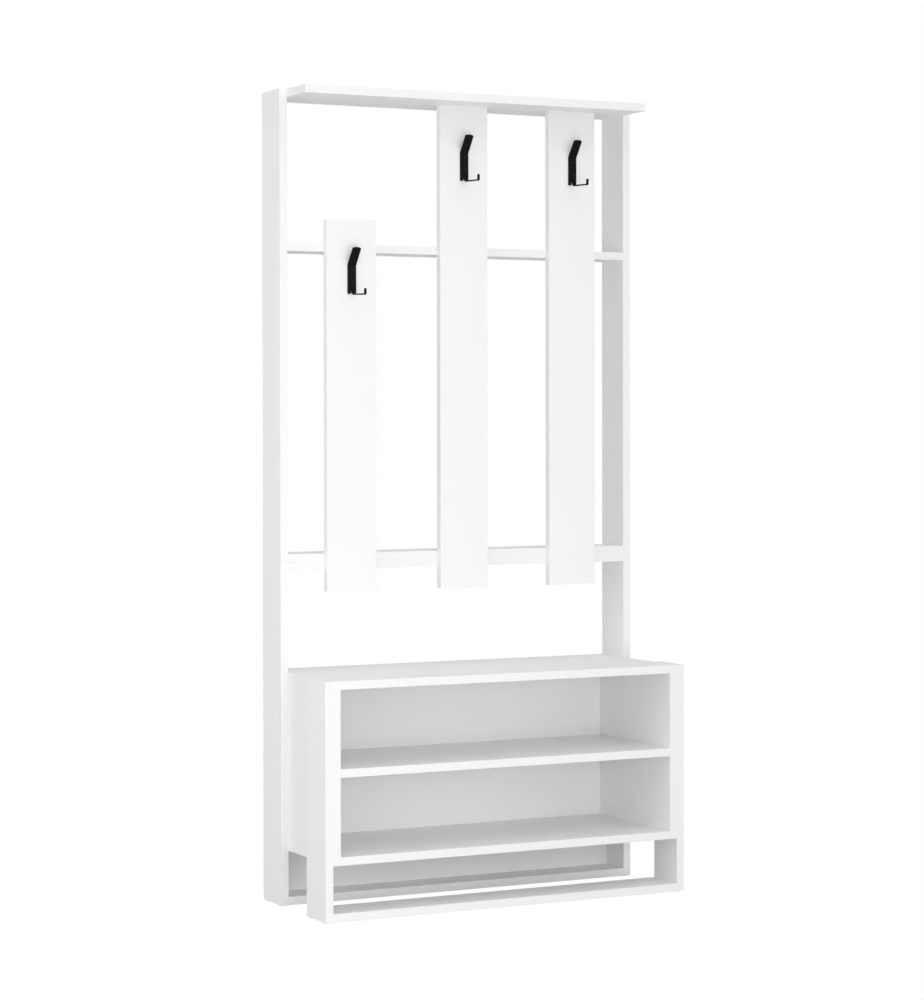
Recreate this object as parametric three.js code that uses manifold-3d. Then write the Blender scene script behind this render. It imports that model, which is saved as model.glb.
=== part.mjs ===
// Hall stand: hat shelf, three slats with black double coat hooks, and a two-tier shoe bench.
// Millimetres. Z up, front faces -Y, floor at Z = 0, centred on X and on the overall depth.
import * as THREE from 'three';
import { mergeVertices } from 'three/addons/utils/BufferGeometryUtils.js';
import Module from 'manifold-3d';

const wasm = await Module();
wasm.setup();
const { Manifold, Mesh } = wasm;

// ---------------------------------------------------------------- driving dimensions
const BOARD = 18;                 // thickness of every melamine board
const WIDTH = 890;                // over the outer faces of the posts
const DEPTH = 340;                // back of the posts to the front of the bench
const POST_DEPTH = 100;           // front-to-back size of posts, legs and rails
const GLIDE = 2;                  // plastic glides that lift the boards off the floor
const POST_TOP = GLIDE + 1800;    // top of the posts and of the hat shelf
const POST_JOINT = GLIDE + 757;   // where the upper frame stands on the lower one
const HAT_SHELF_DEPTH = 200;
const UPPER_RAIL_Z = GLIDE + 1444;
const BENCH_TOP = GLIDE + 514;
const SHOE_SHELF_Z = GLIDE + 308;
const CABINET_Z = GLIDE + 120;    // underside of the bottom shelf
const BACK_PANEL = 3;             // hardboard sheet nailed behind the cabinet
const SKIRTING_GAP = 18;          // free depth behind the sheet

const SLAT_WIDTH = 120;
const SLAT_PITCH = 280;
const SLAT_BOTTOM = GLIDE + 690;
const SHORT_SLAT_TOP = GLIDE + 1515;

const HOOK_WIDTH = 20;            // flat steel of the plate and the upper arm
const HOOK_THICK = 3;
const HOOK_PLATE = 63.5;          // plate height below the bend
const HOOK_BEND = 6;              // centre-line radius of the bend
const HOOK_ARM = 47.5;            // upper arm, bend to tip
const HOOK_ARM_LEAN = 36.5;       // degrees forward of vertical
const HOOK_ARM_CROWN = 2.6;       // how far the arm's end is domed
const TONGUE_WIDTH = 5;           // narrow lower hook, cut free from the foot of the plate
const TONGUE_WINDOW = 7;          // width of the opening that it leaves there
const TONGUE_START = 15;          // height of that opening
const TONGUE_ROOT = -1;           // centre line of the tongue where it leaves the plate's plane
const TONGUE_BEND = 15;           // centre-line radius of the sweep forward
const TONGUE_REACH = 74;          // in front of the slat
const TONGUE_DROP = 1.8;          // degrees below level
const TONGUE_TIP = 14.5;          // height of the upturned end
const TONGUE_TIP_BEND = 2;
const TONGUE_CROWN = 0.8;
const HOOK_LOW_Z = GLIDE + 1351;  // lower edge of the plate on the short slat
const HOOK_HIGH_Z = GLIDE + 1612; // and on the two long slats
const SCREW_HEIGHTS = [24, 52];   // above the lower edge of the plate
const SCREW_SHANK = 2;            // radius
const SCREW_HEAD = 4;             // radius
const SCREW_CROWN = 2.6;          // height of the head above the plate
const SCREW_LENGTH = 14;          // into the slat
const CLEARANCE = 0.3;

const CAM_RADIUS = 7.5;
const CAM_LENGTH = 12.5;
const CAM_INSET = 34;             // from the end of the board to the cam axis
const CAM_ROW_INSET = 25;         // from the edges of a post to the cam rows of the hat shelf
const CAM_DRIVE = [9, 2];         // length and width of the arms of the screwdriver cross
const CAM_DRIVE_DEPTH = 2;

const GLIDE_RADIUS = 7.5;
const GLIDE_INSET = 15;           // from the ends of the foot to the glide axis

// ---------------------------------------------------------------- derived planes
const HALF = WIDTH / 2;
const INNER = HALF - BOARD;       // inner face of posts and legs
const BAY = INNER - BOARD;        // inner face of the cabinet sides
const BACK = DEPTH / 2;
const FRONT = -DEPTH / 2;
const POST_FRONT = BACK - POST_DEPTH;
const SLAT_FRONT = POST_FRONT - BOARD;
const LEG_BACK = FRONT + POST_DEPTH;
const SHEET_BACK = BACK - SKIRTING_GAP;
const SHEET_FRONT = SHEET_BACK - BACK_PANEL;

// ---------------------------------------------------------------- finishes
const finish = (name, color, roughness, metalness = 0) =>
  Object.assign(new THREE.MeshStandardMaterial({ color, roughness, metalness }), { name });
const white = finish('white_melamine', 0xf1f2f0, 0.45);
const sheetWhite = finish('white_hardboard', 0xe9eae8, 0.6);
const black = finish('black_powder_coat', 0x161616, 0.5, 0.3);
const blackScrew = finish('black_screw', 0x1b1b1b, 0.4, 0.6);
const zinc = finish('zinc_cam', 0xa9abab, 0.4, 0.8);
const plastic = finish('white_plastic', 0xe4e4e2, 0.55);

// ---------------------------------------------------------------- solid helpers
function toSolid(geometry) {
  const g = geometry.clone();
  g.deleteAttribute('normal');
  if (g.getAttribute('uv')) g.deleteAttribute('uv');
  const m = mergeVertices(g, 1e-4);
  return new Manifold(new Mesh({
    numProp: 3,
    vertProperties: new Float32Array(m.getAttribute('position').array),
    triVerts: new Uint32Array(m.getIndex().array),
  }));
}

function toGeometry(solid) {
  const mesh = solid.getMesh();
  const g = new THREE.BufferGeometry();
  g.setAttribute('position', new THREE.BufferAttribute(new Float32Array(mesh.vertProperties), 3));
  g.setIndex(new THREE.BufferAttribute(new Uint32Array(mesh.triVerts), 1));
  const flat = g.toNonIndexed();
  flat.computeVertexNormals();
  return flat;
}

const box = (x0, x1, y0, y1, z0, z1) =>
  new THREE.BoxGeometry(x1 - x0, y1 - y0, z1 - z0)
    .translate((x0 + x1) / 2, (y0 + y1) / 2, (z0 + z1) / 2);

// Cylinder along Z from z0 up to z1, or along Y from y0 to y1.
const rodZ = (r, x, y, z0, z1, n = 32) =>
  new THREE.CylinderGeometry(r, r, z1 - z0, n).rotateX(Math.PI / 2).translate(x, y, (z0 + z1) / 2);
const rodY = (r, x, z, y0, y1, n = 24) =>
  new THREE.CylinderGeometry(r, r, y1 - y0, n).translate(x, (y0 + y1) / 2, z);

const drill = (geometry, cutters) =>
  toGeometry(cutters.reduce((solid, c) => solid.subtract(toSolid(c)), toSolid(geometry)));

// ---------------------------------------------------------------- assembly
const stand = new THREE.Group();
stand.name = 'hall_stand';
function add(name, geometry, material) {
  const mesh = new THREE.Mesh(geometry, material);
  mesh.name = name;
  stand.add(mesh);
}
const sides = [['left', -1], ['right', 1]];

// A board that spans between the posts, held by cam locks sunk in its underside or its top.
function camBoard(name, y0, y1, z0, camRows, camsOnTop = false) {
  const [face, out] = camsOnTop ? [z0 + BOARD, 1] : [z0, -1];
  const layer = (proud, depth) => [face + out * proud, face - out * depth].sort((a, b) => a - b);
  const bores = [];
  for (const [side, s] of sides) {
    camRows.forEach((y, i) => {
      const x = s * (INNER - CAM_INSET);
      bores.push(rodZ(CAM_RADIUS + CLEARANCE, x, y, ...layer(1, CAM_LENGTH)));
      const slot = [CAM_DRIVE, [...CAM_DRIVE].reverse()].map(([w, d]) =>
        box(x - w / 2, x + w / 2, y - d / 2, y + d / 2, ...layer(1, CAM_DRIVE_DEPTH)));
      const tag = camRows.length > 1 ? `_${i + 1}` : '';
      const cam = drill(rodZ(CAM_RADIUS, x, y, ...layer(0, CAM_LENGTH)), slot);
      add(`${name}_cam_${side}${tag}`, cam, zinc);
    });
  }
  add(name, drill(box(-INNER, INNER, y0, y1, z0, z0 + BOARD), bores), white);
}

// Posts in two lengths, and the short front legs of the bench.
for (const [side, s] of sides) {
  const x = [s * INNER, s * HALF].sort((a, b) => a - b);
  add(`lower_post_${side}`, box(...x, POST_FRONT, BACK, GLIDE, POST_JOINT), white);
  add(`upper_post_${side}`, box(...x, POST_FRONT, BACK, POST_JOINT, POST_TOP), white);
  add(`front_leg_${side}`, box(...x, FRONT, LEG_BACK, GLIDE, BENCH_TOP), white);
  const stance = { post: [POST_FRONT, BACK], leg: [FRONT, LEG_BACK] };
  for (const [part, [y0, y1]] of Object.entries(stance)) {
    [['front', y0 + GLIDE_INSET], ['back', y1 - GLIDE_INSET]].forEach(([end, y]) => {
      const glide = rodZ(GLIDE_RADIUS, s * (HALF - BOARD / 2), y, 0, GLIDE);
      add(`${part}_glide_${side}_${end}`, glide, plastic);
    });
  }
}

// Boards between the posts, from the top down, and the floor rail between the front legs.
const midPost = (POST_FRONT + BACK) / 2;
const CAMS_ON_TOP = true;
camBoard('hat_shelf', BACK - HAT_SHELF_DEPTH, BACK, POST_TOP - BOARD,
  [POST_FRONT + CAM_ROW_INSET, BACK - CAM_ROW_INSET], CAMS_ON_TOP);
camBoard('upper_rail', POST_FRONT, BACK, UPPER_RAIL_Z, [midPost]);
camBoard('middle_rail_upper', POST_FRONT, BACK, POST_JOINT, [midPost]);
camBoard('middle_rail_lower', POST_FRONT, BACK, POST_JOINT - BOARD, [midPost]);
camBoard('floor_rail_back', POST_FRONT, BACK, GLIDE, [midPost]);
camBoard('floor_rail_front', FRONT, LEG_BACK, GLIDE, [(FRONT + LEG_BACK) / 2]);

// Shoe cabinet: top over the sides, shelves between them, one hardboard sheet behind.
add('bench_top', box(-INNER, INNER, FRONT, BACK, BENCH_TOP - BOARD, BENCH_TOP), white);
for (const [side, s] of sides) {
  const x = [s * BAY, s * INNER].sort((a, b) => a - b);
  add(`cabinet_side_${side}`, box(...x, FRONT, SHEET_FRONT, CABINET_Z, BENCH_TOP - BOARD), white);
}
add('shoe_shelf', box(-BAY, BAY, FRONT, SHEET_FRONT, SHOE_SHELF_Z, SHOE_SHELF_Z + BOARD), white);
add('bottom_shelf', box(-BAY, BAY, FRONT, SHEET_FRONT, CABINET_Z, CABINET_Z + BOARD), white);
add('back_sheet', box(-INNER, INNER, SHEET_FRONT, SHEET_BACK, GLIDE + BOARD, BENCH_TOP - BOARD),
  sheetWhite);

// ---------------------------------------------------------------- coat hooks
// Side outline of a bent strip: the centre line [y, z] is thickened by half each way.
function stripOutline(path, thick) {
  const left = [], right = [];
  path.forEach(([y, z], i) => {
    const dirs = [path[i - 1], path[i + 1]].map((q, k) => {
      if (!q) return null;
      const d = k ? [q[0] - y, q[1] - z] : [y - q[0], z - q[1]];
      const n = Math.hypot(...d);
      return [d[0] / n, d[1] / n];
    }).filter(Boolean);
    const t = dirs.length > 1 ? [dirs[0][0] + dirs[1][0], dirs[0][1] + dirs[1][1]] : dirs[0];
    const n = Math.hypot(...t);
    const half = thick / 2 / (dirs.length > 1 ? n / 2 : 1);
    const normal = [-t[1] / n, t[0] / n];
    left.push([y + normal[0] * half, z + normal[1] * half]);
    right.push([y - normal[0] * half, z - normal[1] * half]);
  });
  return [...left, ...right.reverse()];
}

// Replace each inner corner of a centre line by an arc, of the radius given for that corner.
function rounded(points, radii, steps = 12) {
  const out = [points[0]];
  for (let i = 1; i < points.length - 1; i++) {
    const p = new THREE.Vector2(...points[i]);
    const a = new THREE.Vector2(...points[i - 1]).sub(p).normalize();
    const b = new THREE.Vector2(...points[i + 1]).sub(p).normalize();
    const halfAngle = Math.acos(a.dot(b)) / 2;
    const radius = radii[i - 1];
    const centre = a.clone().add(b).normalize().multiplyScalar(radius / Math.sin(halfAngle)).add(p);
    const from = a.clone().multiplyScalar(radius / Math.tan(halfAngle)).add(p).sub(centre).angle();
    const to = b.clone().multiplyScalar(radius / Math.tan(halfAngle)).add(p).sub(centre).angle();
    const sweep = THREE.MathUtils.euclideanModulo(to - from + Math.PI, 2 * Math.PI) - Math.PI;
    for (let k = 0; k <= steps; k++) {
      const angle = from + sweep * k / steps;
      out.push([centre.x + radius * Math.cos(angle), centre.y + radius * Math.sin(angle)]);
    }
  }
  out.push(points.at(-1));
  return out;
}

// Extrude an outline drawn in [y, z] along X, centred on x = 0.
function alongX(outline, width) {
  const shape = new THREE.Shape(outline.map(([y, z]) => new THREE.Vector2(y, z)));
  const g = new THREE.ExtrudeGeometry(shape, { depth: width, bevelEnabled: false });
  const axes = new THREE.Matrix4().makeBasis(
    new THREE.Vector3(0, 1, 0), new THREE.Vector3(0, 0, 1), new THREE.Vector3(1, 0, 0));
  return g.applyMatrix4(axes).translate(-width / 2, 0, 0);
}

// What is cut away to leave a domed end of the given width: drawn in X and up, through Y.
function endCutter(width, sag, reach) {
  const half = width / 2;
  const radius = (half * half + sag * sag) / (2 * sag);
  const open = Math.asin(half / radius);
  const shape = new THREE.Shape();
  shape.moveTo(-half - 2, -sag);
  shape.lineTo(-half, -sag);
  for (let k = 1; k <= 16; k++) {
    const a = -open + 2 * open * k / 16;
    shape.lineTo(radius * Math.sin(a), radius * Math.cos(a) - radius);
  }
  shape.lineTo(half + 2, -sag);
  shape.lineTo(half + 2, 4);
  shape.lineTo(-half - 2, 4);
  const g = new THREE.ExtrudeGeometry(shape, { depth: reach, bevelEnabled: false });
  return g.rotateX(Math.PI / 2).translate(0, reach / 2, 0);
}

// One hook in its own frame: x = 0 on its axis, y = 0 on the slat face, z = 0 at the plate's foot.
function hookGeometry() {
  const mid = -HOOK_THICK / 2;
  const lean = THREE.MathUtils.degToRad(HOOK_ARM_LEAN);
  const tip = [mid - HOOK_ARM * Math.sin(lean), HOOK_PLATE + HOOK_ARM * Math.cos(lean)];
  const plate = alongX(
    stripOutline(rounded([[mid, 0], [mid, HOOK_PLATE], tip], [HOOK_BEND]), HOOK_THICK), HOOK_WIDTH);
  const armEnd = endCutter(HOOK_WIDTH, HOOK_ARM_CROWN, 12).rotateX(lean).translate(0, ...tip);
  const half = TONGUE_WINDOW / 2;
  const opening = box(-half, half, -HOOK_THICK - 1, 1, -1, TONGUE_START);

  const drop = THREE.MathUtils.degToRad(TONGUE_DROP);
  const reach = TONGUE_REACH - HOOK_THICK;
  const toe = [mid - reach, TONGUE_ROOT - reach * Math.tan(drop)];
  const top = [toe[0], toe[1] + TONGUE_TIP - HOOK_THICK / 2];
  const line = [[mid, TONGUE_START + 3], [mid, TONGUE_ROOT], toe, top];
  const tongue = alongX(
    stripOutline(rounded(line, [TONGUE_BEND, TONGUE_TIP_BEND]), HOOK_THICK), TONGUE_WIDTH);
  const tongueEnd = endCutter(TONGUE_WIDTH, TONGUE_CROWN, 12).translate(0, ...top);

  const holes = SCREW_HEIGHTS.map((z) => rodY(SCREW_SHANK + CLEARANCE, 0, z, -HOOK_THICK - 1, 1));
  let solid = toSolid(plate).subtract(toSolid(armEnd)).subtract(toSolid(opening)).add(toSolid(tongue));
  for (const cut of [tongueEnd, ...holes]) solid = solid.subtract(toSolid(cut));
  return toGeometry(solid);
}

// Pan-head screw along Y: the head sits on the plate, the shank runs into the slat.
function screwGeometry() {
  const under = -HOOK_THICK;
  const face = under - SCREW_CROWN;
  const profile = [[0, SCREW_LENGTH], [0.6, SCREW_LENGTH - 0.4], [SCREW_SHANK, SCREW_LENGTH - 3],
    [SCREW_SHANK, under], [SCREW_HEAD, under], [SCREW_HEAD, under - 0.8],
    [SCREW_HEAD - 0.7, face + 0.7], [SCREW_HEAD - 2.1, face + 0.1], [0, face]]
    .map(([r, y]) => new THREE.Vector2(r, y));
  const body = new THREE.LatheGeometry(profile.reverse(), 24);
  const cross = [[3.6, 0.9], [0.9, 3.6]].map(([w, h]) =>
    box(-w / 2, w / 2, face - 1, face + 1.4, -h / 2, h / 2));
  return drill(body, cross);
}

const hook = hookGeometry();
const screw = screwGeometry();
const slats = [
  ['left', -SLAT_PITCH, SHORT_SLAT_TOP, HOOK_LOW_Z],
  ['middle', 0, POST_TOP - BOARD, HOOK_HIGH_Z],
  ['right', SLAT_PITCH, POST_TOP - BOARD, HOOK_HIGH_Z],
];
for (const [place, x, top, hookZ] of slats) {
  const pilots = SCREW_HEIGHTS.map((z) =>
    rodY(SCREW_SHANK + CLEARANCE, x, hookZ + z, SLAT_FRONT - 1, SLAT_FRONT + SCREW_LENGTH + 0.5));
  const half = SLAT_WIDTH / 2;
  add(`slat_${place}`, drill(box(x - half, x + half, SLAT_FRONT, POST_FRONT, SLAT_BOTTOM, top), pilots),
    white);
  add(`hook_${place}`, hook.clone().translate(x, SLAT_FRONT, hookZ), black);
  SCREW_HEIGHTS.forEach((z, i) => add(`hook_screw_${place}_${['lower', 'upper'][i]}`,
    screw.clone().translate(x, SLAT_FRONT, hookZ + z), blackScrew));
}

export default stand;
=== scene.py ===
import math

import bpy
from mathutils import Matrix, Vector

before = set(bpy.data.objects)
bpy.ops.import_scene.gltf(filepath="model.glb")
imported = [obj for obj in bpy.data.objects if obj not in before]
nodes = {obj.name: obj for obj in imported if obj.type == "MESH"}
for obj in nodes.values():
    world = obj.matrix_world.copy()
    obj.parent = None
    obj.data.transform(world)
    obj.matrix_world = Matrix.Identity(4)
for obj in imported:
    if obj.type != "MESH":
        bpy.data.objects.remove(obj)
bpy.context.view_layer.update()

scene = bpy.context.scene

# ---------------------------------------------------------------- camera
CAMERA_AT = (-2.83696, -5.53346, 1.07663)
YAW, PITCH, ROLL = 0.46915, -0.01152, -0.00149   # radians; yaw turns towards +X
LENS, SENSOR = 99.469, 36.0       # millimetres
LENS_SHIFT = -0.05                # of the sensor, downwards


def make_camera():
    data = bpy.data.cameras.new("camera")
    data.sensor_fit = "AUTO"
    data.sensor_width = SENSOR
    data.lens = LENS
    data.shift_y = LENS_SHIFT
    flat = math.cos(PITCH)
    forward = Vector((math.sin(YAW) * flat, math.cos(YAW) * flat, math.sin(PITCH)))
    level = Vector((math.cos(YAW), -math.sin(YAW), 0))
    right = math.cos(ROLL) * level + math.sin(ROLL) * level.cross(forward)
    turn = Matrix((right, right.cross(forward), -forward)).transposed().to_4x4()
    camera = bpy.data.objects.new("camera", data)
    camera.matrix_world = Matrix.Translation(CAMERA_AT) @ turn
    scene.collection.objects.link(camera)
    scene.camera = camera


make_camera()
scene.view_settings.view_transform = "Standard"

# ---------------------------------------------------------------- studio
# Soft light: a world that is brighter in some directions, and a few large panels.
SLANT = math.sqrt(0.5)
LOBES = [                         # direction, strength, sharpness
    ((0, -1, 0), 0.20, 3.0),
    ((SLANT, -SLANT, 0), 0.68, 3.0),
    ((0, -SLANT, SLANT), 0.82, 3.0),
    ((0, SLANT, SLANT), 0.76, 3.0),
    ((0, 1, 0), 0.46, 1.5),
]
PANELS = {                        # place, aim and size in metres, watts
    "key_left": ((-2.4, -3.4, 2.6), (0, 0, 0.9), (2.0, 2.0), 6.4),
    "left": ((-3.2, -0.4, 1.5), (0, 0, 0.9), (2.0, 2.0), 32.4),
    "top": ((-0.3, -1.0, 3.8), (0, 0, 0.9), (2.2, 2.2), 16.0),
    "low_front": ((-0.6, -3.0, 0.5), (0, 0, 0.5), (1.5, 1.0), 19.6),
    "low_left": ((-2.2, -2.4, 0.6), (0, 0, 0.4), (1.5, 1.0), 7.8),
}
FLOOR_ALBEDO, FLOOR_GLOW = 0.6, 0.09
FLOOR_HALF = 12.0                 # half the side of the floor
FLOOR_GAP = 0.001                 # the white floor lies this far under the glides
BACKDROP_RADIUS = 24.0
BACKDROP_RINGS, BACKDROP_TURNS = 12, 24


def make_panels():
    for name, (at, aim, size, power) in PANELS.items():
        data = bpy.data.lights.new(name, "AREA")
        data.shape = "RECTANGLE"
        data.size, data.size_y = size
        data.energy = power
        light = bpy.data.objects.new(name, data)
        light.location = at
        light.rotation_mode = "QUATERNION"
        light.rotation_quaternion = (Vector(aim) - Vector(at)).to_track_quat("-Z", "Y")
        scene.collection.objects.link(light)


def make_world():
    world = bpy.data.worlds.new("studio")
    scene.world = world
    world.use_nodes = True
    tree = world.node_tree
    background = tree.nodes["Background"]
    background.inputs["Color"].default_value = (1, 1, 1, 1)
    direction = tree.nodes.new("ShaderNodeTexCoord").outputs["Generated"]
    total = None
    for axis, strength, power in LOBES:
        along = tree.nodes.new("ShaderNodeVectorMath")
        along.operation = "DOT_PRODUCT"
        along.inputs[1].default_value = axis
        tree.links.new(direction, along.inputs[0])
        value = along.outputs["Value"]
        for operation, amount in (("MAXIMUM", 0), ("POWER", power), ("MULTIPLY", strength)):
            step = tree.nodes.new("ShaderNodeMath")
            step.operation = operation
            step.inputs[1].default_value = amount
            tree.links.new(value, step.inputs[0])
            value = step.outputs[0]
        if total is not None:
            step = tree.nodes.new("ShaderNodeMath")
            tree.links.new(total, step.inputs[0])
            tree.links.new(value, step.inputs[1])
            value = step.outputs[0]
        total = value
    tree.links.new(total, background.inputs["Strength"])


def stage_mesh(name, verts, faces, colour, glow, seen_by_camera):
    """A stage surface that only the camera sees, or one that only bounces light."""
    mesh = bpy.data.meshes.new(name)
    mesh.from_pydata(verts, [], faces)
    material = bpy.data.materials.new(name)
    material.use_nodes = True
    shader = material.node_tree.nodes["Principled BSDF"]
    shader.inputs["Base Color"].default_value = (colour, colour, colour, 1)
    shader.inputs["Roughness"].default_value = 1.0
    shader.inputs["Specular IOR Level"].default_value = 0.0
    shader.inputs["Emission Color"].default_value = (1, 1, 1, 1)
    shader.inputs["Emission Strength"].default_value = glow
    mesh.materials.append(material)
    surface = bpy.data.objects.new(name, mesh)
    scene.collection.objects.link(surface)
    surface.visible_camera = seen_by_camera
    for ray in ("diffuse", "glossy", "transmission", "shadow"):
        setattr(surface, "visible_" + ray, not seen_by_camera)


def make_floor(name, height, colour, glow, seen_by_camera):
    corners = [(-1, -1), (1, -1), (1, 1), (-1, 1)]
    verts = [(x * FLOOR_HALF, y * FLOOR_HALF, height) for x, y in corners]
    stage_mesh(name, verts, [(0, 1, 2, 3)], colour, glow, seen_by_camera)


def make_backdrop():
    """A white ball round the whole studio."""
    verts, faces = [], []
    for i in range(BACKDROP_RINGS + 1):
        tilt = math.pi * i / BACKDROP_RINGS
        out, up = BACKDROP_RADIUS * math.sin(tilt), BACKDROP_RADIUS * math.cos(tilt)
        for k in range(BACKDROP_TURNS):
            turn = 2 * math.pi * k / BACKDROP_TURNS
            verts.append((out * math.cos(turn), out * math.sin(turn), up))
    for i in range(BACKDROP_RINGS):
        for k in range(BACKDROP_TURNS):
            a = i * BACKDROP_TURNS + k
            b = i * BACKDROP_TURNS + (k + 1) % BACKDROP_TURNS
            faces.append((a, b, b + BACKDROP_TURNS, a + BACKDROP_TURNS))
    stage_mesh("backdrop", verts, faces, 0.0, 1.0, True)


make_panels()
make_world()
make_floor("floor_bounce", 0, FLOOR_ALBEDO, FLOOR_GLOW, False)
make_floor("floor", -FLOOR_GAP, 0.0, 1.0, True)
make_backdrop()

# ---------------------------------------------------------------- materials
AXES = {"X": (1, 0, 0), "Y": (0, 1, 0), "Z": (0, 0, 1)}
SQUARE_ON = 0.7                   # cosine above which a face counts as square to an axis


class Shader:
    """A Principled material with the few node moves that the finishes below share."""

    def __init__(self, name):
        self.material = bpy.data.materials.new(name)
        self.material.use_nodes = True
        self.tree = self.material.node_tree
        self.bsdf = self.tree.nodes["Principled BSDF"]
        self.place = self.node("ShaderNodeTexCoord").outputs["Object"]

    def node(self, kind, **settings):
        made = self.tree.nodes.new(kind)
        for key, value in settings.items():
            setattr(made, key, value)
        return made

    def feed(self, socket, value):
        if isinstance(value, bpy.types.NodeSocket):
            self.tree.links.new(value, socket)
        else:
            socket.default_value = value

    def set(self, **values):
        for name, value in values.items():
            self.feed(self.bsdf.inputs[name.replace("_", " ")], value)

    def stretched(self, scale):
        mapping = self.node("ShaderNodeMapping")
        self.feed(mapping.inputs["Vector"], self.place)
        self.feed(mapping.inputs["Scale"], scale)
        return mapping.outputs["Vector"]

    def noise(self, scale, detail, place=None):
        made = self.node("ShaderNodeTexNoise")
        self.feed(made.inputs["Vector"], place or self.place)
        self.feed(made.inputs["Scale"], scale)
        self.feed(made.inputs["Detail"], detail)
        return made.outputs["Fac"]

    def math(self, operation, a, b):
        made = self.node("ShaderNodeMath", operation=operation)
        self.feed(made.inputs[0], a)
        self.feed(made.inputs[1], b)
        return made.outputs[0]

    def ramp(self, value, low, high):
        """Carry a value from the range 0 to 1 over to the range low to high."""
        made = self.node("ShaderNodeMapRange")
        self.feed(made.inputs["Value"], value)
        self.feed(made.inputs["To Min"], low)
        self.feed(made.inputs["To Max"], high)
        return made.outputs["Result"]

    def mix(self, factor, a, b, kind="RGBA"):
        made = self.node("ShaderNodeMix", data_type=kind)
        sockets = {s.name: s for s in made.inputs if s.enabled}
        self.feed(sockets["Factor"], factor)
        self.feed(sockets["A"], (*a, 1) if isinstance(a, tuple) else a)
        self.feed(sockets["B"], (*b, 1) if isinstance(b, tuple) else b)
        return next(s for s in made.outputs if s.enabled)

    def facing(self, axis):
        """1 on faces square to an axis, 0 on the others."""
        dot = self.node("ShaderNodeVectorMath", operation="DOT_PRODUCT")
        self.feed(dot.inputs[0], self.node("ShaderNodeNewGeometry").outputs["Normal"])
        self.feed(dot.inputs[1], AXES[axis])
        size = self.math("ABSOLUTE", dot.outputs["Value"], 0)
        return self.math("GREATER_THAN", size, SQUARE_ON)

    def bump(self, height, depth, strength):
        made = self.node("ShaderNodeBump")
        self.feed(made.inputs["Height"], height)
        self.feed(made.inputs["Distance"], depth)
        self.feed(made.inputs["Strength"], strength)
        self.feed(self.bsdf.inputs["Normal"], made.outputs["Normal"])


def melamine(thin, along):
    """White melamine board: pearl-textured faces and smoother extruded edge bands."""
    m = Shader(f"melamine_{thin}_{along}".lower())
    face = m.facing(thin)
    cloud = m.noise(5.0, 3.0)
    pearl = m.noise(700.0, 3.0)
    streak_scale = [260.0, 260.0, 260.0]
    streak_scale["XYZ".index(along)] = 5.0
    streaks = m.noise(1.0, 2.0, m.stretched(streak_scale))
    face_colour = m.mix(cloud, (0.905, 0.915, 0.910), (0.924, 0.933, 0.929))
    band_colour = m.mix(streaks, (0.895, 0.904, 0.900), (0.917, 0.926, 0.922))
    m.set(Base_Color=m.mix(face, band_colour, face_colour),
          Roughness=m.mix(face, m.ramp(streaks, 0.34, 0.46), m.ramp(pearl, 0.42, 0.58), "FLOAT"),
          Specular_IOR_Level=0.4)
    relief = m.mix(face, m.ramp(streaks, 0.0, 0.3), pearl, "FLOAT")
    m.bump(relief, 0.00012, 0.35)
    return m.material


def hardboard():
    """Thin hardboard: lacquered and nearly smooth in front, screen-marked behind."""
    m = Shader("hardboard")
    cloud = m.noise(4.0, 4.0)
    fibre = m.noise(1.0, 4.0, m.stretched([90.0, 90.0, 240.0]))
    screen = [m.node("ShaderNodeTexWave", bands_direction=d) for d in "XZ"]
    for wave in screen:
        m.feed(wave.inputs["Vector"], m.place)
        m.feed(wave.inputs["Scale"], 160.0)
    weave = m.math("MULTIPLY", screen[0].outputs["Fac"], screen[1].outputs["Fac"])
    side = m.node("ShaderNodeSeparateXYZ")
    m.feed(side.inputs[0], m.node("ShaderNodeNewGeometry").outputs["Normal"])
    behind = m.math("GREATER_THAN", side.outputs["Y"], 0.5)
    m.set(Base_Color=m.mix(cloud, (0.905, 0.915, 0.911), (0.93, 0.938, 0.935)),
          Roughness=m.ramp(fibre, 0.5, 0.68), Specular_IOR_Level=0.35)
    m.bump(m.mix(behind, fibre, weave, "FLOAT"), 0.00015, 0.5)
    return m.material


def powder_coat():
    m = Shader("powder_coat")
    grain = m.noise(1300.0, 2.0)
    cloud = m.noise(60.0, 3.0)
    m.set(Base_Color=m.mix(cloud, (0.0030, 0.0032, 0.0031), (0.0055, 0.0058, 0.0057)),
          Roughness=m.ramp(grain, 0.42, 0.62), Specular_IOR_Level=0.11)
    m.bump(grain, 0.00008, 0.5)
    return m.material


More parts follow.
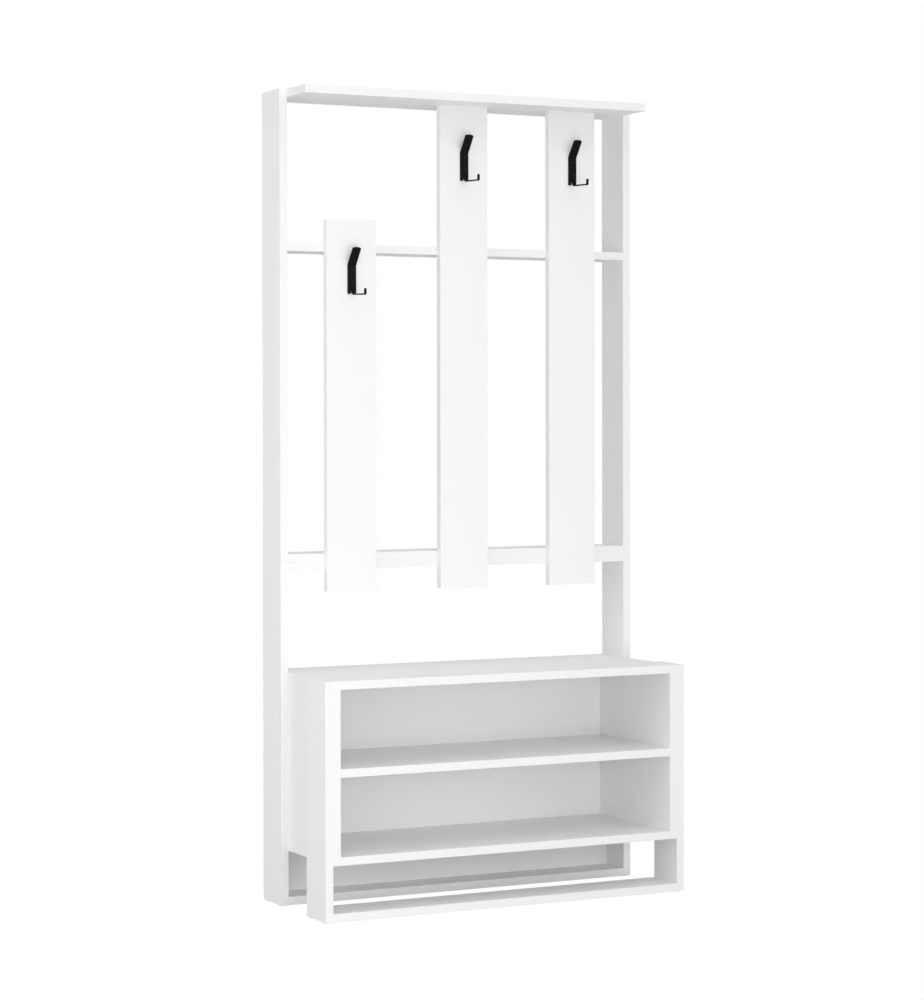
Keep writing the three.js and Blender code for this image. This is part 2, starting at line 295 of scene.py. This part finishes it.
def black_screw():
    m = Shader("black_screw")
    cloud = m.noise(400.0, 3.0)
    m.set(Base_Color=m.mix(cloud, (0.004, 0.004, 0.004), (0.009, 0.009, 0.009)),
          Roughness=m.ramp(cloud, 0.3, 0.45), Specular_IOR_Level=0.2)
    m.bump(cloud, 0.00003, 0.4)
    return m.material


def zinc():
    m = Shader("zinc_cam")
    cast = m.noise(350.0, 4.0)
    m.set(Base_Color=m.mix(cast, (0.50, 0.50, 0.51), (0.66, 0.66, 0.67)), Metallic=1.0,
          Roughness=m.ramp(cast, 0.32, 0.52))
    m.bump(cast, 0.00008, 0.5)
    return m.material


def glide_plastic():
    m = Shader("glide_plastic")
    mould = m.noise(900.0, 2.0)
    m.set(Base_Color=m.mix(mould, (0.78, 0.787, 0.784), (0.83, 0.837, 0.834)),
          Roughness=m.ramp(mould, 0.45, 0.6))
    m.bump(mould, 0.00005, 0.4)
    return m.material


# ---------------------------------------------------------------- finishes on the frame
board_finish = {(thin, along): melamine(thin, along) for thin, along in ("XZ", "YZ", "ZX", "XY")}
EDGE_ROUND, HOOK_ROUND, SMALL_ROUND = 0.0005, 0.0004, 0.0003
SHARP = 0.0                       # the recess of a screw is too fine to round
WELD_DISTANCE = 1e-5
finish_of = {                     # the first word that a node's name holds decides
    "back_sheet": (hardboard(), SMALL_ROUND),
    "hook_screw": (black_screw(), SHARP),
    "hook": (powder_coat(), HOOK_ROUND),
    "cam": (zinc(), SMALL_ROUND),
    "glide": (glide_plastic(), SMALL_ROUND),
    "slat": (board_finish["Y", "Z"], EDGE_ROUND),
    "cabinet_side": (board_finish["X", "Y"], EDGE_ROUND),
    "post": (board_finish["X", "Z"], EDGE_ROUND),
    "leg": (board_finish["X", "Z"], EDGE_ROUND),
    "": (board_finish["Z", "X"], EDGE_ROUND),
}
for name, node in nodes.items():
    material, radius = next(value for word, value in finish_of.items() if word in name)
    node.data.materials.clear()
    node.data.materials.append(material)
    node.modifiers.new("weld", "WELD").merge_threshold = WELD_DISTANCE
    if radius:
        bevel = node.modifiers.new("arris", "BEVEL")
        bevel.width = radius
        bevel.segments = 2
        bevel.limit_method = "ANGLE"
    node.modifiers.new("normals", "WEIGHTED_NORMAL").keep_sharp = False
